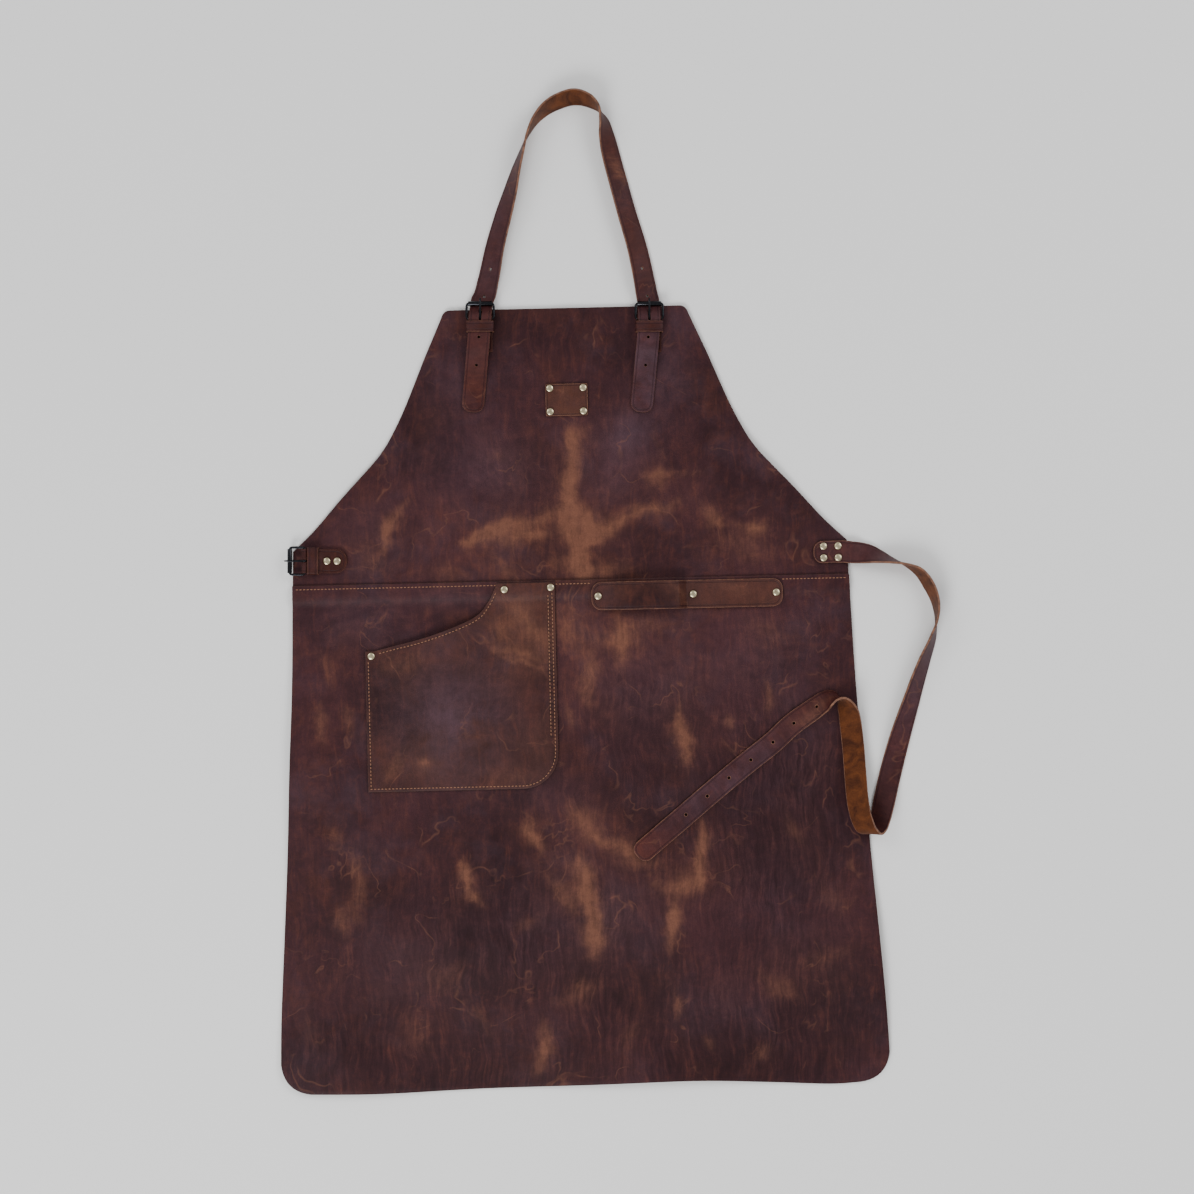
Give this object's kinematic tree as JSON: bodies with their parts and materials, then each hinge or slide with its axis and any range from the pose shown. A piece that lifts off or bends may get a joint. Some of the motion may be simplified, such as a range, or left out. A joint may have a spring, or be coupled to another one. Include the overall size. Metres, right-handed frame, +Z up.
{
  "type": "leather work apron",
  "caption": "Full-length leather work apron lying flat, with a riveted patch pocket, a tool loop, a buckled neck strap and a punched waist strap.",
  "frame": {"origin": "middle of the lying apron's extent, on the surface it lies on", "axes": "+X to the wearer's left as seen from the front (the waist strap's side), +Y from the hem towards the neck, +Z up, away from the surface"},
  "size_m": [0.6674, 0.9986, 0.03],
  "materials": {
    "panel_leather": "dark brown oiled grain leather with a dull sheen, scuffed lighter in streaks",
    "pocket_leather": "dark brown oiled grain leather with a dull sheen",
    "strap_leather": "dark brown oiled strap leather, rust brown on its flesh side",
    "tab_leather": "reddish dark brown oiled leather",
    "patch_leather": "reddish brown leather with a dull sheen",
    "buckle_metal": "black nickel plate, satin",
    "rivet_metal": "pale antique brass, lightly worn"
  },
  "bodies": {
    "root": {"bib_panel": "panel_leather", "skirt_panel": "panel_leather", "pocket": "pocket_leather", "tool_loop": "tab_leather", "label_patch": "patch_leather", "neck_strap": "strap_leather", "waist_strap": "strap_leather", "neck_tab_left": "tab_leather", "neck_keeper_left": "tab_leather", "neck_tab_right": "tab_leather", "neck_keeper_right": "tab_leather", "side_tab": "tab_leather", "side_keeper": "tab_leather", "neck_buckle_left": "buckle_metal", "neck_prong_left": "buckle_metal", "neck_buckle_right": "buckle_metal", "neck_prong_right": "buckle_metal", "side_buckle": "buckle_metal", "side_prong": "buckle_metal", "neck_rivet_left": "rivet_metal", "neck_rivet_right": "rivet_metal", "side_rivet_1": "rivet_metal", "side_rivet_2": "rivet_metal", "patch_rivet_1": "rivet_metal", "patch_rivet_2": "rivet_metal", "patch_rivet_3": "rivet_metal", "patch_rivet_4": "rivet_metal", "strap_rivet_1": "rivet_metal", "strap_rivet_2": "rivet_metal", "strap_rivet_3": "rivet_metal", "strap_rivet_4": "rivet_metal", "pocket_rivet_1": "rivet_metal", "pocket_rivet_2": "rivet_metal", "pocket_rivet_3": "rivet_metal", "loop_rivet_1": "rivet_metal", "loop_rivet_2": "rivet_metal", "loop_rivet_3": "rivet_metal"}
  },
  "joints": []
}
